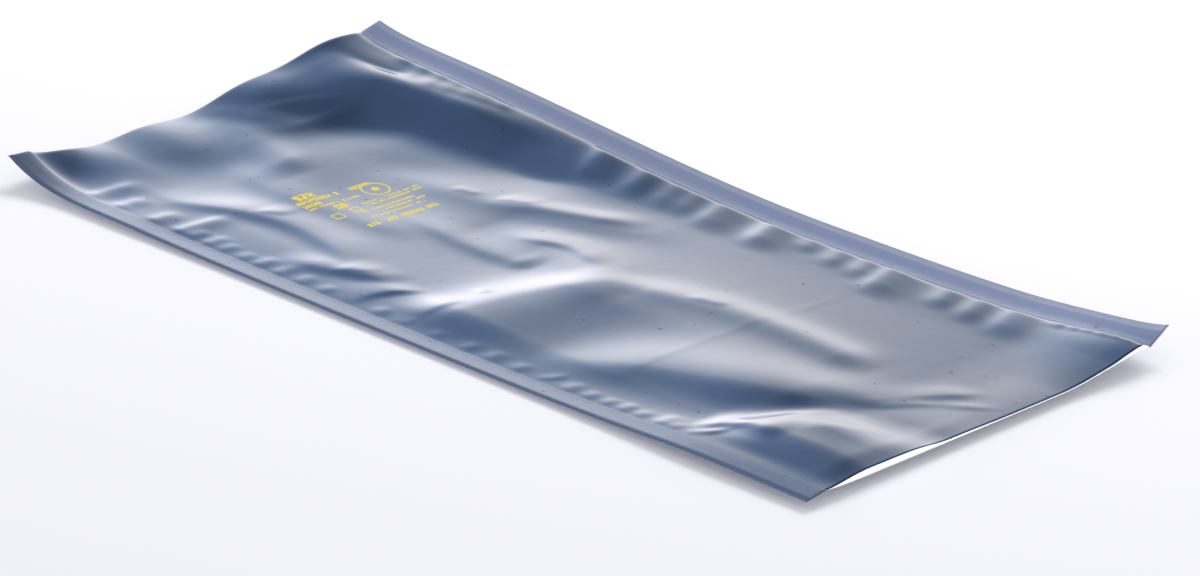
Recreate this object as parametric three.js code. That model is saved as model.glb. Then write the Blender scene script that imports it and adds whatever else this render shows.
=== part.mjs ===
import * as THREE from "three";

// A flat pouch of metallised film: one web folded over at the closed end (-X), heat sealed
// along both long sides and left open at the mouth (+X). It lies on its belly with the
// corners curled up. Millimetres, +Z up, origin under the middle of the pouch.

// The web and its seals
const bagLength = 610;
const bagWidth = 305;
const filmThickness = 0.08;
const sealWidth = 16;
const foldDepth = 2; // how far the bend at the closed end stands out past the flat film
const foldGap = 2; // inside the bend, between the two films

// How high the top film stands over the bottom film
const pocketLoft = 9.8;
const mouthGap = 7.4;
const shoulderWidth = 75; // over which the pocket closes down towards the fold and the mouth
const mouthCalmWidth = 38; // beside the mouth, where the folds die out
const leastRelief = 0.25; // share of a fold's height that reaches the ends
const pocketSquareness = 6; // 2 is a round cushion, more is flatter with steeper sides
const pocketCrown = 0.4; // less is a blunter rise off the seal lines

// How the long sides curl up off the table. Heights are of the cut edge.
const nearSide = {
  restHeight: 2.8,
  sealRise: 2, // from the inner seal line out to the cut edge
  reach: 55, // how far into the pocket the lift dies out
  foldTip: 21.7,
  foldTipReach: 38,
  mouthTip: 5.6,
  mouthTipReach: 120,
};
const farSide = {
  restHeight: 7.3,
  sealRise: 4.2,
  reach: 62,
  foldTip: 7,
  foldTipReach: 25,
  mouthTip: 5.5,
  mouthTipReach: 100,
};
const farSwell = { height: 20, length: 370, reach: 48 }; // the long swell up to the far fold corner
const farCornerCurl = { height: 5, reach: 15 }; // the dog ear at the far corner of the mouth

// How the two ends lift between the corners
const foldEnd = {
  height: 9,
  reach: 109,
  nearCurl: 9,
  nearReach: 15,
  farRise: 21,
  farReach: 177,
  waveHeight: 1.3,
  waveLength: 75,
};
const mouthEnd = { height: 3.2, reach: 104, nearCurl: 1.5, nearReach: 12, farRise: 6, farReach: 80 };
const beltSoftness = 0.6; // rounds the line where the film leaves the table

// Puckers that run in from each seal line, square to it
const pucker = { height: 1.1, reach: 13, pitch: 38, wander: 7, wanderPitch: 83 };

const sealLine = bagWidth / 2 - sealWidth;
const closedEnd = -bagLength / 2;
const foldStart = closedEnd + foldDepth;
const mouthX = bagLength / 2;

// Where the folds are measured from
const middle = [0, 0];
const nearSeal = [0, -sealLine];
const farSeal = [0, sealLine];
const nearFoldCorner = [closedEnd, -sealLine];
const farFoldCorner = [closedEnd, sealLine];
const nearMouthCorner = [mouthX, -sealLine];
const mouthMiddle = [mouthX, 0];

// Folds of the top film. Each has a crest through the points of its path, a height,
// and a width on either side: left and right as one walks along the path.
const folds = [
  { name: "belly", from: middle, height: 3, left: 42, right: 60,
    path: [[-20, -5], [60, -2], [120, 8], [170, 14], [205, 6]] },
  { name: "tent flank", from: middle, height: 1.8, left: 18, right: 36,
    path: [[18, -116], [20, -80], [24, -50], [38, -14]] },
  { name: "tent shoulder", from: middle, height: 1.2, left: 16, right: 22,
    path: [[-62, -4], [-22, 12], [22, 2]] },
  { name: "mouth terrace", from: nearMouthCorner, height: 2.6, left: 34, right: 30,
    path: [[-186, 65], [-135, 74], [-86, 84]] },
  { name: "corner tent", from: nearMouthCorner, height: 4, left: 18, right: 25,
    path: [[-83, 12], [-65, 36], [-43, 62], [-30, 80]] },
  { name: "print ridge", from: nearFoldCorner, height: 1.8, left: 17, right: 13,
    path: [[90, 40], [155, 56], [218, 48]] },
  { name: "near ridge", from: nearSeal, height: 1.5, left: 11, right: 10,
    path: [[-106, 26], [-70, 34], [-42, 44]] },
  { name: "near flank", from: nearSeal, height: 1.6, left: 9, right: 11,
    path: [[-52, 5], [-34, 14], [-26, 32]] },
  { name: "inner ridge", from: farSeal, height: 1.3, left: 13, right: 11,
    path: [[-144, -103], [-100, -98], [-60, -85], [-26, -72]] },
  { name: "far ridge", from: farSeal, height: 1.2, left: 16, right: 12,
    path: [[60, -106], [120, -98], [190, -104]] },
  { name: "mouth crease", from: mouthMiddle, height: 1.2, left: 7, right: 9,
    path: [[-75, -58], [-60, -30], [-49, -2], [-29, 28]] },
  { name: "corner pinch", from: farFoldCorner, height: 2, left: 10, right: 12,
    path: [[9, -32], [37, -14], [59, -8]] },
  { name: "far swell ridge", from: farFoldCorner, height: 1.6, left: 8, right: 14,
    path: [[43, -36], [100, -14], [155, -10]] },
  { name: "closed end ridge", from: nearFoldCorner, height: 1.5, left: 18, right: 16,
    path: [[20, 62], [55, 76], [83, 90]] },
];

// Fineness of the mesh
const lengthwaySteps = 60;
const bottomSteps = 22; // the bottom film is calm, so it takes longer steps
const bottomCrowding = 1.35; // packs those steps towards the closed end, where it curls up
const crosswaySteps = 10; // from a seal line to the middle
const crosswayCrowding = 1.3; // packs the steps towards the seal lines
const bendSteps = 4;
const pathSteps = 5; // pieces of each stretch of a crest

function hump(distance, reach) {
  return Math.exp(-((distance / reach) ** 2));
}

// 1 at the start, 0 from the reach on, level at both
function fade(distance, reach) {
  if (distance >= reach) return 0;
  return Math.cos((Math.PI / 2) * (Math.max(distance, 0) / reach)) ** 2;
}

function sideLift(side, x) {
  const fromFold = x - closedEnd;
  const fromMouth = mouthX - x;
  return side.restHeight - side.sealRise
    + side.foldTip * Math.exp(-fromFold / side.foldTipReach)
    + side.mouthTip * hump(fromMouth, side.mouthTipReach);
}

function farSwellShare(x) {
  return fade(x - closedEnd, farSwell.length);
}

function nearLineHeight(x) {
  return sideLift(nearSide, x);
}

function farLineHeight(x) {
  return sideLift(farSide, x) + farSwell.height * farSwellShare(x);
}

function foldEndHeight(y) {
  const fromNear = y + sealLine;
  const fromFar = sealLine - y;
  const wave = Math.sin((2 * Math.PI * fromNear) / foldEnd.waveLength);
  return foldEnd.height
    + foldEnd.nearCurl * Math.exp(-fromNear / foldEnd.nearReach)
    + foldEnd.farRise * fade(fromFar, foldEnd.farReach)
    + foldEnd.waveHeight * wave;
}

function mouthEndHeight(y) {
  return mouthEnd.height
    + mouthEnd.nearCurl * Math.exp(-(y + sealLine) / mouthEnd.nearReach)
    + mouthEnd.farRise * fade(sealLine - y, mouthEnd.farReach);
}

// Level on the table where the raw form dips below it, with a rounded start to the lift
function restOnTable(height) {
  if (height <= 0) return 0;
  if (height < 2 * beltSoftness) return height ** 2 / (4 * beltSoftness);
  return height - beltSoftness;
}

// The underside of the pouch: each side and end lifts it and the lift dies out inwards
function underside(x, y) {
  const lineY = THREE.MathUtils.clamp(y, -sealLine, sealLine);
  const nearShare = fade(lineY + sealLine, nearSide.reach);
  const farShare = fade(sealLine - lineY, farSide.reach + farSwell.reach * farSwellShare(x));
  const foldShare = fade(x - closedEnd, foldEnd.reach);
  const mouthShare = fade(mouthX - x, mouthEnd.reach);
  const sides = (atX) => nearShare * nearLineHeight(atX) + farShare * farLineHeight(atX);
  const raw = sides(x)
    + foldShare * (foldEndHeight(lineY) - sides(closedEnd))
    + mouthShare * (mouthEndHeight(lineY) - sides(mouthX));
  const rested = restOnTable(raw);
  if (y < -sealLine) {
    return rested + (nearSide.sealRise * (-sealLine - y)) / sealWidth;
  }
  if (y > sealLine) {
    const curl = farCornerCurl.height * Math.exp(-(mouthX - x) / farCornerCurl.reach);
    return rested + ((farSide.sealRise + curl) * (y - sealLine)) / sealWidth;
  }
  return rested;
}

// Places along the smooth crest of a fold
function crestPlaces({ from, path }) {
  const corners = path.map(([x, y]) => new THREE.Vector3(from[0] + x, from[1] + y, 0));
  return new THREE.CatmullRomCurve3(corners).getPoints(pathSteps * (path.length - 1));
}

const crests = folds.map((fold) => ({ ...fold, places: crestPlaces(fold) }));

// Height that one fold adds: a ridge with its own width on either side and faded ends
function foldHeight(crest, x, y) {
  let nearest = Infinity;
  let side = 0;
  let endGap = 0;
  const last = crest.places.length - 2;
  for (let i = 0; i <= last; i += 1) {
    const from = crest.places[i];
    const to = crest.places[i + 1];
    const stepX = to.x - from.x;
    const stepY = to.y - from.y;
    const along = ((x - from.x) * stepX + (y - from.y) * stepY) / (stepX ** 2 + stepY ** 2);
    const held = THREE.MathUtils.clamp(along, 0, 1);
    const gap = Math.hypot(x - from.x - held * stepX, y - from.y - held * stepY);
    if (gap < nearest) {
      nearest = gap;
      side = stepX * (y - from.y) - stepY * (x - from.x);
      const past = i === 0 && along < 0 ? -along : Math.max(i === last ? along - 1 : 0, 0);
      endGap = past * Math.hypot(stepX, stepY);
    }
  }
  const width = side > 0 ? crest.left : crest.right;
  return crest.height * hump(nearest, width) * hump(endGap, crest.left);
}

function puckerHeight(x, y) {
  const fromSeal = sealLine - Math.abs(y);
  const across = (fromSeal / pucker.reach) * Math.exp(1 - fromSeal / pucker.reach);
  const wandered = x + pucker.wander * Math.sin((2 * Math.PI * x) / pucker.wanderPitch + Math.sign(y));
  return 0.5 * pucker.height * across * (1 + Math.cos((2 * Math.PI * wandered) / pucker.pitch));
}

// Clear height between the two films, nothing at the seal lines
function pocketGap(x, y) {
  const share = Math.abs(y) / sealLine;
  if (share >= 1) return 0;
  const crown = (1 - share ** pocketSquareness) ** pocketCrown;
  const opened = 1 - fade(x - foldStart, shoulderWidth);
  const height = foldGap + (pocketLoft - foldGap) * opened
    + (mouthGap - pocketLoft) * fade(mouthX - x, shoulderWidth);
  const calm = opened * (1 - fade(mouthX - x, mouthCalmWidth));
  const relief = crests.reduce((sum, crest) => sum + foldHeight(crest, x, y), 0);
  return crown * (height + relief * Math.max(calm, leastRelief)) + puckerHeight(x, y) * calm;
}

// Collects shared points and the triangles between rows of them
class FilmMesh {
  positions = [];

  triangles = [];

  point(x, y, z) {
    this.positions.push(x, y, z);
    return this.positions.length / 3 - 1;
  }

  triangle(a, b, c) {
    this.triangles.push(a, b, c);
  }

  // A triangle that faces the other way when it is turned
  side(a, b, c, turned) {
    if (turned) this.triangle(a, c, b);
    else this.triangle(a, b, c);
  }

  // The strip between two rows that both run along +X, the first with less y. It faces up,
  // or down when it is turned. Both faces of a film are cut alike, so they never cross.
  strip(near, far, turned) {
    const xOf = (row, i) => (i < row.length ? this.positions[3 * row[i]] : Infinity);
    let a = 0;
    let b = 0;
    while (a < near.length - 1 || b < far.length - 1) {
      if (xOf(near, a + 1) <= xOf(far, b + 1)) {
        this.side(near[a], near[a + 1], far[b], turned);
        a += 1;
      } else {
        this.side(near[a], far[b + 1], far[b], turned);
        b += 1;
      }
    }
  }

  // The band between two chains with as many points each
  band(first, second, turned) {
    for (let i = 0; i < first.length - 1; i += 1) {
      this.side(first[i], first[i + 1], second[i + 1], turned);
      this.side(first[i], second[i + 1], second[i], turned);
    }
  }

  fan(hub, chain) {
    for (let i = 0; i < chain.length - 1; i += 1) {
      this.triangle(hub, chain[i], chain[i + 1]);
    }
  }

  geometry() {
    const made = new THREE.BufferGeometry();
    made.setAttribute("position", new THREE.Float32BufferAttribute(this.positions, 3));
    made.setIndex(this.triangles);
    made.computeVertexNormals();
    return made;
  }
}

function stations(steps, from, to) {
  return Array.from({ length: steps + 1 }, (_, i) => from + ((to - from) * i) / steps);
}

function crossways() {
  const inner = stations(crosswaySteps, 0, 1).map((t) => sealLine * (1 - t ** crosswayCrowding));
  const far = [bagWidth / 2, ...inner];
  return [...far.map((y) => -y), ...far.slice(0, -1).reverse()];
}

// One lengthwise line of the pouch: rows of points for the four film faces and the two bends
function lengthLine(mesh, y) {
  const insideSeal = Math.abs(y) < sealLine;
  const fine = stations(lengthwaySteps, foldStart, mouthX);
  const calm = stations(bottomSteps, 0, 1).map((t) => foldStart + (mouthX - foldStart) * t ** bottomCrowding);
  const lower = insideSeal ? calm : fine;
  const row = (places, height) => places.map((x) => mesh.point(x, y, height(x)));
  const bottomOuter = row(lower, (x) => underside(x, y));
  const topOuter = row(fine, (x) => underside(x, y) + 2 * filmThickness + pocketGap(x, y));
  const line = { y, insideSeal, bottomOuter, topOuter };
  if (Math.abs(y) <= sealLine) {
    line.bottomInner = row(lower, (x) => underside(x, y) + filmThickness);
    line.topInner = insideSeal
      ? row(fine, (x) => underside(x, y) + filmThickness + pocketGap(x, y))
      : line.bottomInner;
  }
  const floor = underside(foldStart, y);
  const gap = pocketGap(foldStart, y);
  line.outerBend = bend(mesh, y, bottomOuter[0], topOuter[0], floor, 2 * filmThickness + gap, foldDepth);
  if (insideSeal) {
    const innerDepth = foldDepth - filmThickness;
    line.innerBend = bend(
      mesh, y, line.bottomInner[0], line.topInner[0], floor + filmThickness, gap, innerDepth,
    );
  }
  return line;
}

// Half round from the bottom film to the top film at the closed end
function bend(mesh, y, bottom, top, floor, height, depth) {
  const between = stations(bendSteps, 0, Math.PI).slice(1, -1);
  const points = between.map((turn) =>
    mesh.point(foldStart - depth * Math.sin(turn), y, floor + (height * (1 - Math.cos(turn))) / 2));
  return [bottom, ...points, top];
}

const end = (row) => row[row.length - 1];

function joinLines(mesh, near, far) {
  mesh.strip(near.topOuter, far.topOuter, false);
  mesh.strip(near.bottomOuter, far.bottomOuter, true);
  mesh.band(near.outerBend, far.outerBend, false);
  const rim = (line, lower, upper) => [end(line[lower]), end(line[upper])];
  if (!near.insideSeal && !far.insideSeal) {
    const nearRim = rim(near, "bottomOuter", "topOuter");
    const farRim = rim(far, "bottomOuter", "topOuter");
    if (far.bottomInner) mesh.fan(end(far.bottomInner), [farRim[1], nearRim[1], nearRim[0], farRim[0]]);
    else mesh.fan(end(near.bottomInner), [nearRim[0], farRim[0], farRim[1], nearRim[1]]);
    return;
  }
  mesh.strip(near.bottomInner, far.bottomInner, false);
  mesh.strip(near.topInner, far.topInner, true);
  mesh.band(rim(near, "topInner", "topOuter"), rim(far, "topInner", "topOuter"), true);
  mesh.band(rim(near, "bottomOuter", "bottomInner"), rim(far, "bottomOuter", "bottomInner"), true);
  if (near.innerBend && far.innerBend) mesh.band(near.innerBend, far.innerBend, true);
  else if (far.innerBend) mesh.fan(near.bottomInner[0], far.innerBend);
  else mesh.fan(far.bottomInner[0], [...near.innerBend].reverse());
}

function cutEdge(mesh, line, towardsFar) {
  const rows = towardsFar ? [line.topOuter, line.bottomOuter] : [line.bottomOuter, line.topOuter];
  mesh.band(...rows, false);
  const round = towardsFar ? line.outerBend : [...line.outerBend].reverse();
  mesh.fan(round[0], round.slice(1));
}

function pouchGeometry() {
  const mesh = new FilmMesh();
  const lines = crossways().map((y) => lengthLine(mesh, y));
  lines.slice(1).forEach((line, i) => joinLines(mesh, lines[i], line));
  cutEdge(mesh, lines[0], false);
  cutEdge(mesh, lines[lines.length - 1], true);
  return mesh.geometry();
}

const shieldingFilm = new THREE.MeshStandardMaterial({
  color: 0x8c99ae,
  metalness: 0.85,
  roughness: 0.3,
});

const pouch = new THREE.Mesh(pouchGeometry(), shieldingFilm);
pouch.name = "film_pouch";

const part = new THREE.Group();
part.add(pouch);

export default part;
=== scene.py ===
import math
import bmesh
import bpy
import numpy as np
from mathutils import Matrix, Vector


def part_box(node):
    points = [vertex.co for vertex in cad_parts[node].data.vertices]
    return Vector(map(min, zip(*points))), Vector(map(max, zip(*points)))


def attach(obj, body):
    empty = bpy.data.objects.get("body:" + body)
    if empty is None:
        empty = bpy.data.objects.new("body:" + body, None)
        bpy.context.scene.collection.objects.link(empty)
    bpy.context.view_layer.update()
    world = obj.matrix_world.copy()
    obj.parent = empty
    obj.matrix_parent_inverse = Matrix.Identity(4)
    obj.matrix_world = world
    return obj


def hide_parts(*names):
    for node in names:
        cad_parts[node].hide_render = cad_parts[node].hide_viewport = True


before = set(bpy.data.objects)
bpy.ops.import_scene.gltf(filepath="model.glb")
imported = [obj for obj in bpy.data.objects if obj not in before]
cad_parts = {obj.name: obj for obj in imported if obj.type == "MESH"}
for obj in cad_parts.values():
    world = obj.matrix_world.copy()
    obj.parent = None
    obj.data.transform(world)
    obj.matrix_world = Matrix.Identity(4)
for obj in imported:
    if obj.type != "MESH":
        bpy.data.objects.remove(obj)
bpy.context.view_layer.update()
print("frame loaded")

mm = 0.001
pouchLow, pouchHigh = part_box("film_pouch")
pouchLength = (pouchHigh.x - pouchLow.x) / mm
pouchWidth = (pouchHigh.y - pouchLow.y) / mm


# The camera: a long lens that looks down along the pouch from beyond its near mouth corner
cameraSettings = {
    "lens": 165,  # millimetres, on a sensor 36 mm wide
    "sensor": 36,
    "azimuth": 41.4,  # degrees, from straight behind the near side towards the mouth
    "elevation": 21.9,
    "roll": 3.0,
    "target": (0.0314, -0.0103, 0.001),
    "distance": 3.079,
}


def makeCamera(settings):
    azimuth = math.radians(settings["azimuth"])
    elevation = math.radians(settings["elevation"])
    roll = math.radians(settings["roll"])
    flat = math.cos(elevation)
    back = Vector((math.sin(azimuth) * flat, -math.cos(azimuth) * flat, math.sin(elevation)))
    right = Vector((math.cos(azimuth), math.sin(azimuth), 0))
    up = back.cross(right)
    turnedRight = right * math.cos(roll) + up * math.sin(roll)
    turnedUp = up * math.cos(roll) - right * math.sin(roll)
    data = bpy.data.cameras.new("camera")
    data.sensor_fit = "HORIZONTAL"
    data.sensor_width = settings["sensor"]
    data.lens = settings["lens"]
    data.clip_end = 50
    camera = bpy.data.objects.new("camera", data)
    place = Vector(settings["target"]) + back * settings["distance"]
    axes = Matrix((turnedRight, turnedUp, back)).transposed().to_4x4()
    camera.matrix_world = Matrix.Translation(place) @ axes
    bpy.context.scene.collection.objects.link(camera)
    bpy.context.scene.camera = camera


# The form of the film, in millimetres: x along the pouch to its mouth, y across it to the far side
filmSettings = {
    "thickness": 0.08,
    "sealWidth": 16,
    "bendDepth": 1.6,  # how far the bend at the closed end stands out past the flat film
    "filmGap": 0.8,  # between the two films where nothing lifts them
    "cushionGap": 0.8,  # more of it in the middle
    "nearGapReach": 36,  # from each seal line in to where the films have parted
    "farGapReach": 8,
    "reliefReach": 34,  # from a seal line in to where the folds have their full height
    "mouthGap": 2.9,  # more of it at the mouth
    "mouthReach": 70,
    "foldGap": 0.6,
    "foldReach": 60,
    "topSoftness": 3.0,  # the top film bridges the line where the bottom film leaves the table
    "lipDrop": 0.9,  # the top film turns down along the mouth, most of all at its near corner
    "lipReach": 16,
    "lipLeast": 0.2,  # the share of the drop that stays at the far corner
    "lipMiddle": (10, 90),  # where along the mouth the drop starts to grow, and over what length
    "endCalm": 0.75,  # the share of the relief that is lost at the closed end
    "calmReach": 60,
}

sideSettings = {
    "near": {"rest": 2.8, "sealRise": 0.9, "reach": 55, "foldTip": 21.7, "foldReach": 38,
             "mouthTip": 5.6, "mouthReach": 120},
    "far": {"rest": 7.3, "sealRise": 4.2, "reach": 62, "foldTip": 7, "foldReach": 25,
            "mouthTip": 5.5, "mouthReach": 100},
    "swellHeight": 20, "swellLength": 370, "swellReach": 48,
    "cornerCurl": 5, "cornerReach": 15,
    "mouthDroop": 3.0, "droopReach": 110,  # the near seal tips outwards less and less towards the mouth
    "softness": 0.6,  # rounds the line where the film leaves the table
}

endSettings = {
    "foldHeight": 9, "foldReach": 109, "foldNearCurl": 9, "foldNearReach": 15,
    "foldFarRise": 21, "foldFarReach": 177, "waveHeight": 1.3, "waveLength": 75,
    "mouthHeight": 5.8, "mouthReach": 104, "mouthNearCurl": 1.5, "mouthNearReach": 12,
    "mouthFarRise": 6, "mouthFarReach": 80,
}

# Folds of the top film. "along" is the axis that the crest follows, and "crest" its points.
# "plus" and "minus" are its widths on the side with more and with less of the other axis,
# and "tails" the lengths over which its two ends rise from the flat.
filmFolds = {
    "tentBack": {"along": "y", "crest": [(-142, 11), (-90, 16), (-50, 25), (-12, 42)],
                 "height": 3.4, "plus": 46, "minus": 23, "tails": (6, 50)},
    "crossbarLeft": {"along": "x", "crest": [(-52, 8), (-20, 8), (14, 0), (40, -10)],
                     "height": 2.4, "plus": 26, "minus": 30, "tails": (44, 44)},
    "crossbar": {"along": "x", "crest": [(40, -4), (70, 2), (100, 8), (150, 11), (205, 9)],
                 "height": 1.8, "plus": 16, "minus": 16, "tails": (60, 30)},
    "bandToe": {"along": "x", "crest": [(104, -96), (150, -78), (200, -62), (232, -48)],
                "height": 2.8, "plus": 40, "minus": 22, "tails": (60, 40)},
    "cornerTent": {"along": "y", "crest": [(-132, 244), (-104, 250), (-80, 262), (-60, 282)],
                   "height": 5.6, "plus": 46, "minus": 28, "tails": (20, 50)},
    "cornerTentFoot": {"along": "y", "crest": [(-110, 224), (-84, 234), (-56, 246)],
                       "height": 1.4, "plus": 24, "minus": 9, "tails": (40, 24)},
    "printRidge": {"along": "x", "crest": [(-206, -99), (-180, -88), (-145, -80), (-110, -84), (-76, -94)],
                   "height": 1.5, "plus": 19, "minus": 9, "tails": (60, 60)},
    "nearRidge": {"along": "x", "crest": [(-106, -118), (-76, -108), (-52, -98)],
                  "height": 1.2, "plus": 13, "minus": 7, "tails": (30, 24)},
    "innerRidge": {"along": "x", "crest": [(-148, 26), (-110, 31), (-70, 40), (-30, 54), (-5, 64)],
                   "height": 1.0, "plus": 20, "minus": 15, "tails": (60, 70)},
    "innerRidgeEnd": {"along": "x", "crest": [(-86, 40), (-50, 56), (-20, 70)],
                      "height": 0.9, "plus": 12, "minus": 9, "tails": (30, 30)},
    "underRidge": {"along": "x", "crest": [(-96, -20), (-60, -24), (-14, -22)],
                   "height": 0.9, "plus": 14, "minus": 8, "tails": (50, 14)},
    "printFoot": {"along": "x", "crest": [(-222, -44), (-190, -50), (-140, -46), (-96, -40)],
                  "height": 0.6, "plus": 16, "minus": 11, "tails": (30, 40)},
    "swellBrow": {"along": "x", "crest": [(-300, 74), (-262, 84), (-215, 102), (-160, 120)],
                  "height": 4.6, "plus": 30, "minus": 34, "tails": (30, 80)},
    "endWedge": {"along": "x", "crest": [(-292, -4), (-250, -8), (-204, -20)],
                 "height": 1.3, "plus": 14, "minus": 18, "tails": (30, 24)},
}

# Broad swells and hollows of the top film: place, height, half length along x, half width along y, turn
filmSwells = {
    "closedEnd": {"at": (-226, 6), "height": 3.2, "long": 48, "wide": 40, "turn": -15},
    "belowPrint": {"at": (-185, -38), "height": 1.4, "long": 42, "wide": 24, "turn": -40},
    "abovePrint": {"at": (-190, 56), "height": 1.8, "long": 46, "wide": 24, "turn": 10},
    "farCornerHollow": {"at": (-262, 122), "height": -5.0, "long": 46, "wide": 16, "turn": 12},
    "endHollow": {"at": (-268, 34), "height": -1.6, "long": 24, "wide": 16, "turn": 10},
    "waist": {"at": (-30, 2), "height": -2.0, "long": 40, "wide": 50, "turn": 0},
    "farWaist": {"at": (-112, 96), "height": -1.8, "long": 30, "wide": 24, "turn": 0},
    "belly": {"at": (128, -14), "height": 3.0, "long": 84, "wide": 50, "turn": -8},
    "mouthBelly": {"at": (198, -62), "height": 3.4, "long": 56, "wide": 42, "turn": 0},
    "mouthHollow": {"at": (300, 40), "height": -4.4, "long": 40, "wide": 100, "turn": 0},
    "nearMouthHollow": {"at": (286, -66), "height": -2.6, "long": 22, "wide": 26, "turn": 0},
}

# Crisp dents and creases, listed as the folds are
filmCreases = {
    "tentDent": {"along": "x", "crest": [(-38, 9), (-16, 15), (11, 8)],
                 "height": 0.8, "plus": 16, "minus": 5, "tails": (40, 22)},
    "barDent": {"along": "x", "crest": [(86, 7), (105, 11)],
                "height": 0.35, "plus": 12, "minus": 4, "tails": (10, 10)},
    "backDent": {"along": "y", "crest": [(-122, -3), (-94, 0)],
                 "height": 0.6, "plus": 4.5, "minus": 16, "tails": (14, 16)},
    "backDentTip": {"along": "y", "crest": [(-74, 0), (-68, 1)],
                    "height": 0.4, "plus": 3, "minus": 5, "tails": (8, 8)},
    "nearDent": {"along": "y", "crest": [(-137, -46), (-116, -41), (-99, -31)],
                 "height": 0.9, "plus": 5, "minus": 18, "tails": (12, 20)},
    "printDent": {"along": "x", "crest": [(-169, -80), (-156, -71)],
                  "height": 0.3, "plus": 12, "minus": 4, "tails": (9, 9)},
    "nearRidgeDent": {"along": "x", "crest": [(-78, -107), (-63, -98)],
                      "height": 0.35, "plus": 14, "minus": 4, "tails": (10, 10)},
    "innerDent": {"along": "x", "crest": [(-93, 41), (-76, 49)],
                  "height": 0.35, "plus": 14, "minus": 4, "tails": (10, 10)},
    "innerDentTip": {"along": "x", "crest": [(-122, 33), (-108, 35)],
                     "height": 0.3, "plus": 5, "minus": 3, "tails": (8, 8)},
    "cornerDent": {"along": "x", "crest": [(205, -118), (222, -107), (243, -107)],
                   "height": 1.3, "plus": 18, "minus": 6, "tails": (14, 16)},
    "cornerDentTip": {"along": "x", "crest": [(203, -137), (219, -121)],
                      "height": 1.0, "plus": 5, "minus": 4, "tails": (9, 9)},
    "seamDent": {"along": "x", "crest": [(97, -136), (108, -126)],
                 "height": 0.7, "plus": 5, "minus": 3, "tails": (7, 7)},
    "backSeamDent": {"along": "x", "crest": [(-12, -138), (0, -130)],
                     "height": 0.6, "plus": 5, "minus": 3, "tails": (6, 6)},
    "mouthCrease": {"along": "y", "crest": [(-36, 238), (-10, 250), (24, 272)],
                    "height": 0.7, "plus": 8, "minus": 16, "tails": (30, 24)},
    "mouthCreaseEnd": {"along": "y", "crest": [(0, 277), (16, 294)],
                       "height": 0.4, "plus": 5, "minus": 9, "tails": (14, 14)},
    "mouthCreaseInner": {"along": "y", "crest": [(-34, 247), (-14, 260), (-4, 268)],
                         "height": 0.35, "plus": 5, "minus": 8, "tails": (16, 16)},
    "uprightCrease": {"along": "y", "crest": [(-90, 131), (70, 133)],
                      "height": 0.06, "plus": 3, "minus": 4, "tails": (60, 60)},
    "endCreaseA": {"along": "y", "crest": [(24, -274), (50, -262), (70, -248)],
                   "height": 0.28, "plus": 9, "minus": 4, "tails": (24, 24)},
    "endCreaseB": {"along": "y", "crest": [(26, -246), (50, -243), (72, -241)],
                   "height": 0.28, "plus": 9, "minus": 4, "tails": (24, 24)},
    "endCreaseC": {"along": "x", "crest": [(-300, 2), (-262, 18)],
                   "height": 0.35, "plus": 9, "minus": 9, "tails": (20, 20)},
}

# Puckers that run in from the seals: each has its place along x, reach, height and soft width.
# "crisp" is the width on its other side, "lean" its slant, "start" the length over which it rises.
puckerFullness = 2.2  # keeps a pucker at its full height for longer before it dies out
sealPuckers = {
    "far": {
        "lean": 0.22, "crisp": 9, "start": 7, "strength": 1.15,
        "ridges": [(-262, 26, 0.8, 9), (-246, 30, 0.9, 9), (-231, 32, 0.9, 8), (-218, 28, 0.8, 8),
                   (-205, 24, 0.7, 8), (-193, 20, 0.6, 8), (-178, 16, 0.5, 7), (-95, 46, 1.0, 17),
                   (-60, 44, 0.9, 12), (-36, 42, 0.7, 10), (-20, 40, 0.7, 10), (0, 46, 1.0, 17),
                   (38, 46, 1.1, 15), (68, 26, 0.5, 8), (90, 34, 0.6, 8), (110, 36, 0.7, 8),
                   (128, 50, 1.1, 16), (170, 36, 0.7, 9), (192, 40, 0.8, 12), (216, 44, 0.9, 16),
                   (246, 14, 0.5, 4), (256, 13, 0.4, 4), (265, 12, 0.4, 4), (275, 12, 0.4, 4),
                   (284, 11, 0.4, 4), (293, 10, 0.3, 4)],
    },
    "near": {
        "lean": 0.15, "crisp": 5, "start": 5, "strength": 0.55,
        "ridges": [(-253, 40, 0.9, 9), (-231, 26, 0.8, 8), (-203, 24, 0.8, 8), (-182, 46, 1.1, 9),
                   (-171, 18, 0.7, 5), (-158, 20, 0.7, 6), (-146, 16, 0.6, 5), (-130, 14, 0.5, 5),
                   (-117, 18, 0.7, 6), (-101, 20, 0.6, 6), (-84, 16, 0.5, 6), (-66, 14, 0.5, 5),
                   (-24, 14, 0.5, 5), (20, 12, 0.4, 5), (44, 14, 0.5, 5), (62, 16, 0.5, 6),
                   (82, 14, 0.5, 5), (120, 16, 0.6, 6), (134, 14, 0.6, 5), (147, 14, 0.6, 5),
                   (159, 16, 0.7, 5), (171, 14, 0.6, 5), (186, 20, 0.8, 7), (196, 14, 0.6, 5)],
    },
}


def hump(distance, reach):
    return np.exp(-(distance / reach) ** 2)


def fade(distance, reach):  # 1 at the start, 0 from the reach on, level at both
    return np.where(distance >= reach, 0, np.cos(np.pi / 2 * np.clip(distance, 0, None) / reach) ** 2)


def ease(share):
    held = np.clip(share, 0, 1)
    return held * held * (3 - 2 * held)


sealLine = pouchWidth / 2 - filmSettings["sealWidth"]
closedEnd = -pouchLength / 2
mouthX = pouchLength / 2


def swellShare(x):
    return fade(x - closedEnd, sideSettings["swellLength"])


def sealRise(side, x):
    rise = sideSettings[side]["sealRise"]
    if side == "near":
        rise = rise - sideSettings["mouthDroop"] * hump(mouthX - x, sideSettings["droopReach"])
    return rise


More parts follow.
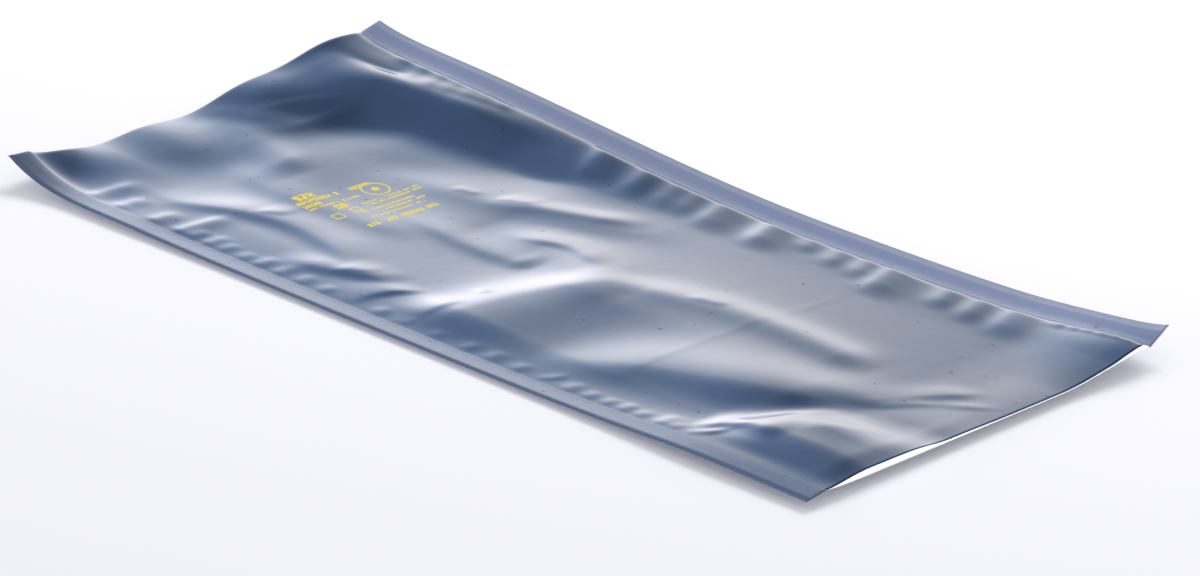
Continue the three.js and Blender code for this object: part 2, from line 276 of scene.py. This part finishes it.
def sideLine(side, x):
    s = sideSettings[side]
    lift = s["rest"] - sealRise(side, x) + s["foldTip"] * np.exp(-(x - closedEnd) / s["foldReach"])
    lift = lift + s["mouthTip"] * hump(mouthX - x, s["mouthReach"])
    if side == "far":
        lift = lift + sideSettings["swellHeight"] * swellShare(x)
    return lift


def foldEndHeight(y):
    e = endSettings
    fromNear = y + sealLine
    wave = np.sin(2 * np.pi * fromNear / e["waveLength"])
    curl = e["foldNearCurl"] * np.exp(-fromNear / e["foldNearReach"])
    farRise = e["foldFarRise"] * fade(sealLine - y, e["foldFarReach"])
    return e["foldHeight"] + curl + farRise + e["waveHeight"] * wave


def mouthEndHeight(y):
    e = endSettings
    curl = e["mouthNearCurl"] * np.exp(-(y + sealLine) / e["mouthNearReach"])
    return e["mouthHeight"] + curl + e["mouthFarRise"] * fade(sealLine - y, e["mouthFarReach"])


def underside(x, y, soft=sideSettings["softness"]):
    # the bottom film: each side and end lifts it, and the lift dies out inwards
    s = sideSettings
    lineY = np.clip(y, -sealLine, sealLine)
    nearShare = fade(lineY + sealLine, s["near"]["reach"])
    farShare = fade(sealLine - lineY, s["far"]["reach"] + s["swellReach"] * swellShare(x))
    foldShare = fade(x - closedEnd, endSettings["foldReach"])
    mouthShare = fade(mouthX - x, endSettings["mouthReach"])

    def sides(atX):
        return nearShare * sideLine("near", atX) + farShare * sideLine("far", atX)

    raw = sides(x) + foldShare * (foldEndHeight(lineY) - sides(closedEnd))
    raw = raw + mouthShare * (mouthEndHeight(lineY) - sides(mouthX))
    rested = np.where(raw <= 0, 0, np.where(raw < 2 * soft, raw ** 2 / (4 * soft), raw - soft))
    curl = s["cornerCurl"] * np.exp(-(mouthX - x) / s["cornerReach"])
    outNear = np.clip(-sealLine - y, 0, None) / filmSettings["sealWidth"]
    outFar = np.clip(y - sealLine, 0, None) / filmSettings["sealWidth"]
    return rested + sealRise("near", x) * outNear + (sealRise("far", x) + curl) * outFar


def crestAt(points, at):  # a smooth line through the crest's points
    places = np.array([p[0] for p in points], float)
    offsets = np.array([p[1] for p in points], float)
    slopes = np.gradient(offsets, places)
    i = np.clip(np.searchsorted(places, at) - 1, 0, len(places) - 2)
    step = places[i + 1] - places[i]
    t = np.clip((at - places[i]) / step, -0.3, 1.3)
    a = (1 + 2 * t) * (1 - t) ** 2
    b = t * (1 - t) ** 2
    c = t * t * (3 - 2 * t)
    d = t * t * (t - 1)
    return a * offsets[i] + b * step * slopes[i] + c * offsets[i + 1] + d * step * slopes[i + 1]


def foldHeight(fold, x, y):
    at, other = (x, y) if fold["along"] == "x" else (y, x)
    off = other - crestAt(fold["crest"], at)
    width = np.where(off > 0, fold["plus"], fold["minus"])
    start, stop = fold["crest"][0][0], fold["crest"][-1][0]
    rise = ease((at - start) / fold["tails"][0] + 0.5) * ease((stop - at) / fold["tails"][1] + 0.5)
    return fold["height"] * hump(off, width) * rise


def swellHeight(swell, x, y):
    turn = math.radians(swell["turn"])
    offX, offY = x - swell["at"][0], y - swell["at"][1]
    along = offX * math.cos(turn) + offY * math.sin(turn)
    across = offY * math.cos(turn) - offX * math.sin(turn)
    return swell["height"] * hump(along, swell["long"]) * hump(across, swell["wide"])


def puckerHeight(x, y):
    total = np.zeros(np.broadcast(x, y).shape)
    for side, sign in (("far", 1), ("near", -1)):
        p = sealPuckers[side]
        fromSeal = np.clip(sealLine - sign * y, 0, None)
        for place, reach, height, soft in p["ridges"]:
            off = x - place - p["lean"] * fromSeal
            along = p["strength"] * ease(puckerFullness * (1 - fromSeal / reach)) * ease(fromSeal / p["start"])
            total = total + height * hump(off, np.where(off > 0, soft, p["crisp"])) * along
    return total


def openedGap(x, y):  # clear height between the films
    f = filmSettings
    fromSeal = np.clip(sealLine - np.abs(y), 0, None)
    reach = np.where(y < 0, f["nearGapReach"], f["farGapReach"])
    parted = np.sin(np.pi / 2 * np.clip(fromSeal / reach, 0, 1))
    cushion = f["cushionGap"] * (1 - np.clip(np.abs(y) / sealLine, 0, 1) ** 2)
    bridged = underside(x, y, f["topSoftness"]) - underside(x, y)
    bridged = bridged + f["topSoftness"] - sideSettings["softness"]
    gap = f["filmGap"] + cushion + bridged + f["mouthGap"] * fade(mouthX - x, f["mouthReach"])
    gap = gap + (f["foldGap"] - gap) * fade(x - closedEnd, f["foldReach"])
    relief = sum(foldHeight(fold, x, y) for fold in filmFolds.values())
    relief = relief + sum(swellHeight(swell, x, y) for swell in filmSwells.values())
    crisp = sum(foldHeight(crease, x, y) for crease in filmCreases.values())
    calm = 1 - f["endCalm"] * fade(x - closedEnd, f["calmReach"])
    lip = f["lipDrop"] * ease(1 - (mouthX - x) / f["lipReach"])
    lipStart, lipLength = f["lipMiddle"]
    gap = gap - lip * (f["lipLeast"] + (1 - f["lipLeast"]) * ease((lipStart - y) / lipLength))
    height = parted * (gap + crisp) + relief * calm * ease(fromSeal / f["reliefReach"]) + puckerHeight(x, y)
    least = parted * f["foldGap"]
    return np.where(height > 2 * least, height, least + np.clip(height, 0, None) ** 2 / (4 * least + 1e-9))


# The mesh of the film: one web from the mouth edge of the bottom film round the closed end
# to the mouth edge of the top film
webSettings = {
    "bottomColumns": 52,
    "bottomCrowding": 0.5,  # packs them towards both ends, where the corners curl
    "bendColumns": 5,
    "topColumns": 306,
    "sealRows": 3,
    "puckerRows": 20,
    "puckerReach": 38,  # the finer rows beside each seal line
    "middleRows": 88,
}


def rowPlaces():
    w = webSettings
    inner = sealLine - w["puckerReach"]
    seal = np.linspace(pouchWidth / 2, sealLine, w["sealRows"] + 1)
    pucker = np.linspace(sealLine, inner, w["puckerRows"] + 1)
    middle = np.linspace(inner, -inner, w["middleRows"] + 1)
    half = np.concatenate([seal, pucker[1:]])
    return np.concatenate([-half, -middle[1:-1], half[::-1]])


def webPoints():  # places of the outer face, by column along the web and row across it
    w = webSettings
    f = filmSettings
    y = rowPlaces()
    start = closedEnd + f["bendDepth"]
    share = np.linspace(0, 1, w["bottomColumns"] + 1)
    share = share + w["bottomCrowding"] * ((1 - np.cos(np.pi * share)) / 2 - share)
    bottomX = mouthX + (start - mouthX) * share
    topX = np.linspace(start, mouthX, w["topColumns"] + 1)
    turns = np.linspace(0, np.pi, w["bendColumns"] + 1)[1:-1]
    columns = []
    for x in bottomX:
        columns.append((np.full_like(y, x), y, underside(x, y)))
    low = underside(start, y)
    high = low + 2 * f["thickness"] + openedGap(start, y)
    for turn in turns:
        x = np.full_like(y, start - f["bendDepth"] * math.sin(turn))
        columns.append((x, y, low + (high - low) * (1 - math.cos(turn)) / 2))
    for x in topX:
        columns.append((np.full_like(y, x), y, underside(x, y) + 2 * f["thickness"] + openedGap(x, y)))
    return np.array(columns).transpose(0, 2, 1)


def makeWeb(name):
    points = webPoints()
    columns, rows = points.shape[:2]
    bm = bmesh.new()
    uvLayer = bm.loops.layers.uv.new("web")
    bmesh.ops.create_grid(bm, x_segments=columns - 1, y_segments=rows - 1, size=1)
    bm.verts.ensure_lookup_table()
    for vert in bm.verts:
        column = round((vert.co.x + 1) / 2 * (columns - 1))
        row = round((vert.co.y + 1) / 2 * (rows - 1))
        vert.co = Vector(points[column, row]) * mm
        vert.index = column * rows + row
    for face in bm.faces:
        for loop in face.loops:
            column, row = divmod(loop.vert.index, rows)
            onTop = column > webSettings["bottomColumns"]
            across = points[column, row, 1]
            along = points[column, row, 0]
            loop[uvLayer].uv = (along / 1000, across / 1000 if onTop else across / 1000 + 1)
        face.smooth = True
    mesh = bpy.data.meshes.new(name)
    bm.to_mesh(mesh)
    bm.free()
    web = bpy.data.objects.new(name, mesh)
    bpy.context.scene.collection.objects.link(web)
    return web


def addThickness(web):
    wall = web.modifiers.new("wall", "SOLIDIFY")
    wall.thickness = filmSettings["thickness"] * mm
    wall.offset = -1
    wall.use_rim = True
    wall.material_offset = 1
    wall.material_offset_rim = 0


# Materials
def newMaterial(name):
    material = bpy.data.materials.new(name)
    material.use_nodes = True
    material.node_tree.nodes.clear()
    return material


def link(tree, source, target):
    tree.links.new(source, target)


def math2(tree, operation, first, second=0.0):
    node = tree.nodes.new("ShaderNodeMath")
    node.operation = operation
    for socket, value in zip(node.inputs, (first, second)):
        if isinstance(value, (int, float)):
            socket.default_value = value
        else:
            link(tree, value, socket)
    return node.outputs[0]


filmFinish = {
    "colour": (0.66, 0.68, 0.74, 1),
    "roughness": 0.13,
    # painted shade: the far seal gets a darker, bluer copy of the near seal's colour, though both seals are
    # one material; it stands in for the darker reflection that the far band's tilt gives
    "farSealPaintedShadeColour": (0.50, 0.565, 0.73, 1),
    "nearSealColour": (0.60, 0.64, 0.73, 1),
    "farSealMetal": 0.6,
    "nearSealMetal": 0.92,
    "sealRoughness": 0.34,
    "sealLineColour": (0.80, 0.83, 0.90, 1),
    "edgeColour": (0.20, 0.24, 0.34, 1),
    "toneShare": 0.96,  # the darker of the film's two tones, as a share of its colour
    "toneScale": 9,
    "roughSpread": 0.05,
    "lineShare": 0.5,
    "edgeShare": 0.6,
    "edgeWidth": 0.5,  # millimetres, and so is the half width of the line along each seal
    "wanderScale": 55,  # the seal's inner edge wanders
    "wander": 1.6,
    "speckScale": 190,  # dust
    "speckLimit": 0.83,
    "speckShare": 0.35,
    "speckColour": (0.1, 0.11, 0.14, 1),
    # the inner face's colour, also used as the colour of its painted glow
    "innerColourAndPaintedGlow": (0.93, 0.94, 0.96, 1),
}

# Fine relief under the finish: noise scale, detail and height in millimetres
filmRelief = {
    "soft": (28, 3, 0.10),
    "fine": (120, 2, 0.014),
    "ribs": (330, 2, 0.10),  # on the seals
    "ribStretch": (1, 0.35, 1),
    "ribTurn": 32,  # degrees
}

# The print, in millimetres along and across the pouch. Rows of plain blocks stand for words:
# middle along, thickness, start and end across, block pitch, seed
printRows = {
    "heading": (-168.0, 7.0, -59, -38, 5.2, 1),
    "title": (-161.5, 4.0, -58, 0, 3.0, 2),
    "number": (-156.0, 4.0, -58, -44, 3.0, 3),
    "small": (-151.5, 2.2, -58, -18, 1.7, 4),
    "bold": (-145.5, 6.2, -53, -33, 5.0, 5),
    "noteA": (-141.0, 2.0, -28, 20, 1.8, 6),
    "noteB": (-137.4, 2.0, -26, 20, 1.8, 7),
    "noteC": (-131.0, 2.0, -36, 8, 1.8, 8),
    "noteD": (-127.0, 2.0, -24, 12, 1.8, 9),
    "noteE": (-122.0, 2.0, -36, 6, 1.8, 10),
    "last": (-113.5, 4.2, -48, 8, 3.0, 11),
}

printMarks = {
    "ring": {"at": (-153, -3), "radius": 9.2, "line": 1.1},
    "dot": {"at": (-153, -3), "radius": 2.6, "line": 2.6},
    "upperSquare": {"at": (-136.5, -35), "radius": 3.6, "line": 1.0},
    "lowerSquare": {"at": (-135.0, -51), "radius": 3.6, "line": 1.0},
}

printInk = {"colour": (0.95, 0.76, 0.02, 1), "roughness": 0.42}

printBlocks = {
    "wordGaps": 0.17,  # share of the blocks that are left out
    "blockShare": 0.8,  # of the pitch
    "partsAlong": 3.75,  # the parts that a block is made of
    "partsAcross": 5,
    "partGaps": 0.14,
}


def between(tree, value, low, high):  # 1 inside the two limits, 0 outside
    above = math2(tree, "GREATER_THAN", value, low)
    below = math2(tree, "LESS_THAN", value, high)
    return math2(tree, "MULTIPLY", above, below)


def mixColour(tree, share, first, second):
    node = tree.nodes.new("ShaderNodeMix")
    node.data_type = "RGBA"
    for socket, value in ((node.inputs[0], share), (node.inputs[6], first), (node.inputs[7], second)):
        if isinstance(value, (tuple, float, int)):
            socket.default_value = value
        else:
            link(tree, value, socket)
    return node.outputs[2]


def mixValue(tree, share, first, second):
    node = tree.nodes.new("ShaderNodeMix")
    for socket, value in ((node.inputs[0], share), (node.inputs[2], first), (node.inputs[3], second)):
        if isinstance(value, (int, float)):
            socket.default_value = value
        else:
            link(tree, value, socket)
    return node.outputs[0]


def makePrintRow():  # one row of blocks that stand for words
    group = bpy.data.node_groups.new("printRow", "ShaderNodeTree")
    for name in ("Along", "Across", "Middle", "Thickness", "Start", "End", "Pitch", "Seed"):
        group.interface.new_socket(name, in_out="INPUT", socket_type="NodeSocketFloat")
    group.interface.new_socket("Mask", in_out="OUTPUT", socket_type="NodeSocketFloat")
    given = group.nodes.new("NodeGroupInput").outputs
    out = group.nodes.new("NodeGroupOutput").inputs
    offset = math2(group, "SUBTRACT", given["Along"], given["Middle"])
    up = math2(group, "ADD", math2(group, "DIVIDE", offset, given["Thickness"]), 0.5)
    inRow = between(group, up, 0, 1)
    inLength = math2(group, "MULTIPLY", math2(group, "GREATER_THAN", given["Across"], given["Start"]),
                     math2(group, "LESS_THAN", given["Across"], given["End"]))
    steps = math2(group, "DIVIDE", math2(group, "SUBTRACT", given["Across"], given["Start"]), given["Pitch"])
    cell = math2(group, "FLOOR", steps)
    inCell = math2(group, "FRACT", steps)
    word = group.nodes.new("ShaderNodeTexWhiteNoise")
    word.noise_dimensions = "2D"
    wordPlace = group.nodes.new("ShaderNodeCombineXYZ")
    link(group, cell, wordPlace.inputs[0])
    link(group, given["Seed"], wordPlace.inputs[1])
    link(group, wordPlace.outputs[0], word.inputs["Vector"])
    isLetter = math2(group, "GREATER_THAN", word.outputs["Value"], printBlocks["wordGaps"])
    notGap = math2(group, "LESS_THAN", inCell, printBlocks["blockShare"])
    part = group.nodes.new("ShaderNodeTexWhiteNoise")
    part.noise_dimensions = "3D"
    partPlace = group.nodes.new("ShaderNodeCombineXYZ")
    partAlong = math2(group, "MULTIPLY", steps, printBlocks["partsAlong"])
    partAcross = math2(group, "MULTIPLY", up, printBlocks["partsAcross"])
    link(group, math2(group, "FLOOR", partAlong), partPlace.inputs[0])
    link(group, math2(group, "FLOOR", partAcross), partPlace.inputs[1])
    link(group, given["Seed"], partPlace.inputs[2])
    link(group, partPlace.outputs[0], part.inputs["Vector"])
    isInk = math2(group, "GREATER_THAN", part.outputs["Value"], printBlocks["partGaps"])
    mask = math2(group, "MULTIPLY", inRow, inLength)
    for share in (isLetter, notGap, isInk):
        mask = math2(group, "MULTIPLY", mask, share)
    link(group, mask, out[0])
    return group


def printMask(tree, along, across):
    group = makePrintRow()
    total = None
    for values in printRows.values():
        row = tree.nodes.new("ShaderNodeGroup")
        row.node_tree = group
        link(tree, along, row.inputs["Along"])
        link(tree, across, row.inputs["Across"])
        for name, value in zip(("Middle", "Thickness", "Start", "End", "Pitch", "Seed"), values):
            row.inputs[name].default_value = value
        total = row.outputs[0] if total is None else math2(tree, "MAXIMUM", total, row.outputs[0])
    for name, mark in printMarks.items():
        offX = math2(tree, "SUBTRACT", along, mark["at"][0])
        offY = math2(tree, "SUBTRACT", across, mark["at"][1])
        if "Square" in name:
            reach = math2(tree, "MAXIMUM", math2(tree, "ABSOLUTE", offX), math2(tree, "ABSOLUTE", offY))
        else:
            squares = math2(tree, "ADD", math2(tree, "POWER", offX, 2), math2(tree, "POWER", offY, 2))
            reach = math2(tree, "SQRT", squares)
        line = between(tree, reach, mark["radius"] - mark["line"], mark["radius"])
        total = math2(tree, "MAXIMUM", total, line)
    return total


def noise(tree, coordinates, scale, detail=2.0, stretch=(1, 1, 1), turn=0.0):
    mapping = tree.nodes.new("ShaderNodeMapping")
    mapping.inputs["Scale"].default_value = stretch
    mapping.inputs["Rotation"].default_value = (0, 0, math.radians(turn))
    link(tree, coordinates, mapping.inputs[0])
    node = tree.nodes.new("ShaderNodeTexNoise")
    node.inputs["Scale"].default_value = scale
    node.inputs["Detail"].default_value = detail
    link(tree, mapping.outputs[0], node.inputs["Vector"])
    return node.outputs[0]


def filmMaterial():
    finish = filmFinish
    material = newMaterial("shieldingFilm")
    tree = material.node_tree
    shader = tree.nodes.new("ShaderNodeBsdfPrincipled")
    output = tree.nodes.new("ShaderNodeOutputMaterial")
    link(tree, shader.outputs[0], output.inputs[0])
    web = tree.nodes.new("ShaderNodeUVMap")
    web.uv_map = "web"
    split = tree.nodes.new("ShaderNodeSeparateXYZ")
    link(tree, web.outputs[0], split.inputs[0])
    along = math2(tree, "MULTIPLY", split.outputs[0], 1000)
    across = math2(tree, "MULTIPLY", split.outputs[1], 1000)
    folded = math2(tree, "SUBTRACT", split.outputs[1], math2(tree, "ROUND", split.outputs[1]))
    fromMiddle = math2(tree, "MULTIPLY", math2(tree, "ABSOLUTE", folded), 1000)

    wander = math2(tree, "SUBTRACT", noise(tree, web.outputs[0], finish["wanderScale"]), 0.5)
    wander = math2(tree, "MULTIPLY", wander, finish["wander"])
    sealEdge = math2(tree, "ADD", fromMiddle, wander)
    seal = math2(tree, "GREATER_THAN", sealEdge, sealLine)
    line = between(tree, sealEdge, sealLine - finish["edgeWidth"], sealLine + finish["edgeWidth"])
    edge = math2(tree, "GREATER_THAN", fromMiddle, pouchWidth / 2 - finish["edgeWidth"])
    ink = printMask(tree, along, across)

    tone = noise(tree, web.outputs[0], finish["toneScale"], 3)
    darker = tuple(c * finish["toneShare"] for c in finish["colour"][:3]) + (1,)
    film = mixColour(tree, tone, darker, finish["colour"])
    isFar = math2(tree, "GREATER_THAN", folded, 0)
    # the far seal's colour here carries painted shade
    sealColourWithPaintedShade = mixColour(tree, isFar, finish["nearSealColour"], finish["farSealPaintedShadeColour"])
    colour = mixColour(tree, seal, film, sealColourWithPaintedShade)
    lineShare = math2(tree, "MULTIPLY", line, finish["lineShare"])
    edgeShare = math2(tree, "MULTIPLY", edge, finish["edgeShare"])
    colour = mixColour(tree, lineShare, colour, finish["sealLineColour"])
    colour = mixColour(tree, edgeShare, colour, finish["edgeColour"])
    dust = noise(tree, web.outputs[0], finish["speckScale"], 0)
    dustHere = math2(tree, "GREATER_THAN", dust, finish["speckLimit"])
    dustShare = math2(tree, "MULTIPLY", dustHere, finish["speckShare"])
    colour = mixColour(tree, dustShare, colour, finish["speckColour"])
    colour = mixColour(tree, ink, colour, printInk["colour"])
    link(tree, colour, shader.inputs["Base Color"])

    sealMetal = mixValue(tree, isFar, finish["nearSealMetal"], finish["farSealMetal"])
    metal = mixValue(tree, seal, 1.0, sealMetal)
    metal = mixValue(tree, ink, metal, 0.0)
    link(tree, metal, shader.inputs["Metallic"])
    smooth = math2(tree, "MULTIPLY", tone, finish["roughSpread"])
    filmRough = math2(tree, "ADD", smooth, finish["roughness"] - finish["roughSpread"] / 2)
    rough = mixValue(tree, seal, filmRough, finish["sealRoughness"])
    rough = mixValue(tree, ink, rough, printInk["roughness"])
    link(tree, rough, shader.inputs["Roughness"])

    def bumps(name, stretch=(1, 1, 1), turn=0.0):
        scale, detail, height = filmRelief[name]
        return math2(tree, "MULTIPLY", noise(tree, web.outputs[0], scale, detail, stretch, turn), height)

    soft = bumps("soft")
    fine = bumps("fine")
    ribs = bumps("ribs", filmRelief["ribStretch"], filmRelief["ribTurn"])
    relief = mixValue(tree, seal, math2(tree, "ADD", soft, fine), ribs)
    bump = tree.nodes.new("ShaderNodeBump")
    bump.inputs["Strength"].default_value = 1.0
    bump.inputs["Distance"].default_value = mm
    link(tree, relief, bump.inputs["Height"])
    link(tree, bump.outputs[0], shader.inputs["Normal"])
    return material


def innerMaterialWithPaintedGlow():
    material = newMaterial("paintedGlowInnerFilm")
    tree = material.node_tree
    shader = tree.nodes.new("ShaderNodeBsdfPrincipled")
    output = tree.nodes.new("ShaderNodeOutputMaterial")
    link(tree, shader.outputs[0], output.inputs[0])
    shader.inputs["Base Color"].default_value = filmFinish["innerColourAndPaintedGlow"]
    shader.inputs["Metallic"].default_value = 0.2
    shader.inputs["Roughness"].default_value = 0.35
    shader.inputs["Emission Color"].default_value = filmFinish["innerColourAndPaintedGlow"]
    shader.inputs["Emission Strength"].default_value = 0.35  # painted glow, which stands in for the light that the thin film lets through
    return material


# The studio: a white table, a backdrop that is bright near the table and dark overhead
skyScale = 1.5  # keeps the ramp's colours under 1
studioSettings = {
    "floorColour": (0.95, 0.95, 0.955, 1),
    "floorGlow": 0.07,  # only in what the camera and the film see
    "ambient": (0.58, 0.58, 0.65),
    "keyPower": 47.0,
    "keySize": 1.6,
    "keyPlace": (-0.8, 2.0, 1.9),
    "sideAzimuth": 43.0,  # degrees, of the line across which the backdrop fades
    "sideMiddle": 1.06,
    "sideShare": 0.30,  # how much brighter the left of it is than the middle
    "sideSharpness": 12,
}

# What the film sees: elevation in degrees and the brightness there
skyStops = [
    (-5, (1.0, 1.0, 1.04)),
    (3, (1.18, 1.15, 1.20)),
    (8, (1.20, 1.16, 1.20)),
    (13, (1.02, 1.0, 1.05)),
    (17, (0.79, 0.81, 0.87)),
    (22, (0.52, 0.565, 0.65)),
    (27, (0.30, 0.36, 0.46)),
    (32, (0.18, 0.235, 0.335)),
    (38, (0.10, 0.15, 0.25)),
    (46, (0.055, 0.09, 0.165)),
    (60, (0.045, 0.075, 0.14)),
    (76, (0.06, 0.09, 0.16)),
    (90, (0.20, 0.24, 0.32)),
]


def makeWorld():
    world = bpy.data.worlds.new("studio")
    bpy.context.scene.world = world
    world.use_nodes = True
    tree = world.node_tree
    tree.nodes.clear()
    output = tree.nodes.new("ShaderNodeOutputWorld")
    mixed = tree.nodes.new("ShaderNodeMixShader")
    seen = tree.nodes.new("ShaderNodeBackground")
    ambient = tree.nodes.new("ShaderNodeBackground")
    ambient.inputs["Color"].default_value = (*studioSettings["ambient"], 1)
    place = tree.nodes.new("ShaderNodeTexCoord")
    split = tree.nodes.new("ShaderNodeSeparateXYZ")
    link(tree, place.outputs["Generated"], split.inputs[0])
    elevation = math2(tree, "MULTIPLY", math2(tree, "ARCSINE", split.outputs["Z"]), 180 / math.pi)
    low, high = skyStops[0][0], skyStops[-1][0]
    share = math2(tree, "DIVIDE", math2(tree, "SUBTRACT", elevation, low), high - low)
    ramp = tree.nodes.new("ShaderNodeValToRGB")
    elements = ramp.color_ramp.elements
    while len(elements) < len(skyStops):
        elements.new(0.5)
    for element, (at, colour) in zip(elements, skyStops):
        element.position = (at - low) / (high - low)
        element.color = (*[c / skyScale for c in colour], 1)
    link(tree, share, ramp.inputs[0])
    link(tree, ramp.outputs[0], seen.inputs["Color"])
    side = math.radians(studioSettings["sideAzimuth"])
    across = tree.nodes.new("ShaderNodeVectorMath")
    across.operation = "DOT_PRODUCT"
    link(tree, place.outputs["Generated"], across.inputs[0])
    across.inputs[1].default_value = (math.cos(side), math.sin(side), 0)
    share = math2(tree, "MULTIPLY", across.outputs["Value"], studioSettings["sideSharpness"])
    share = math2(tree, "MINIMUM", math2(tree, "MAXIMUM", share, -1), 1)
    fading = math2(tree, "MULTIPLY", share, -skyScale * studioSettings["sideShare"])
    link(tree, math2(tree, "ADD", fading, skyScale * studioSettings["sideMiddle"]), seen.inputs["Strength"])
    path = tree.nodes.new("ShaderNodeLightPath")
    link(tree, path.outputs["Is Diffuse Ray"], mixed.inputs[0])
    link(tree, seen.outputs[0], mixed.inputs[1])
    link(tree, ambient.outputs[0], mixed.inputs[2])
    link(tree, mixed.outputs[0], output.inputs[0])


def makeKeyLamp():
    data = bpy.data.lights.new("key", "AREA")
    data.shape = "DISK"
    data.size = studioSettings["keySize"]
    data.energy = studioSettings["keyPower"]
    data.color = (1.0, 0.985, 0.96)
    lamp = bpy.data.objects.new("key", data)
    place = Vector(studioSettings["keyPlace"])
    lamp.location = place
    lamp.rotation_euler = (-place).to_track_quat("-Z", "Y").to_euler()
    lamp.visible_glossy = False
    bpy.context.scene.collection.objects.link(lamp)


def makeFloor():
    bm = bmesh.new()
    bmesh.ops.create_grid(bm, x_segments=1, y_segments=1, size=20)
    mesh = bpy.data.meshes.new("floor")
    bm.to_mesh(mesh)
    bm.free()
    floor = bpy.data.objects.new("floor", mesh)
    bpy.context.scene.collection.objects.link(floor)
    material = newMaterial("floorWhite")
    tree = material.node_tree
    shader = tree.nodes.new("ShaderNodeBsdfDiffuse")
    output = tree.nodes.new("ShaderNodeOutputMaterial")
    shader.inputs["Color"].default_value = studioSettings["floorColour"]
    glow = tree.nodes.new("ShaderNodeEmission")
    path = tree.nodes.new("ShaderNodeLightPath")
    seen = math2(tree, "MAXIMUM", path.outputs["Is Camera Ray"], path.outputs["Is Glossy Ray"])
    seen = math2(tree, "MAXIMUM", seen, path.outputs["Is Transmission Ray"])
    link(tree, math2(tree, "MULTIPLY", seen, studioSettings["floorGlow"]), glow.inputs["Strength"])
    both = tree.nodes.new("ShaderNodeAddShader")
    link(tree, shader.outputs[0], both.inputs[0])
    link(tree, glow.outputs[0], both.inputs[1])
    link(tree, both.outputs[0], output.inputs[0])
    mesh.materials.append(material)


makeCamera(cameraSettings)
makeWorld()
makeKeyLamp()
makeFloor()
print("studio made")

pouch = makeWeb("filmPouch")
pouch.data.materials.append(filmMaterial())
pouch.data.materials.append(innerMaterialWithPaintedGlow())
addThickness(pouch)
print("film made:", len(pouch.data.polygons), "faces")

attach(pouch, "root")
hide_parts("film_pouch")

bpy.context.scene.view_settings.view_transform = "Standard"
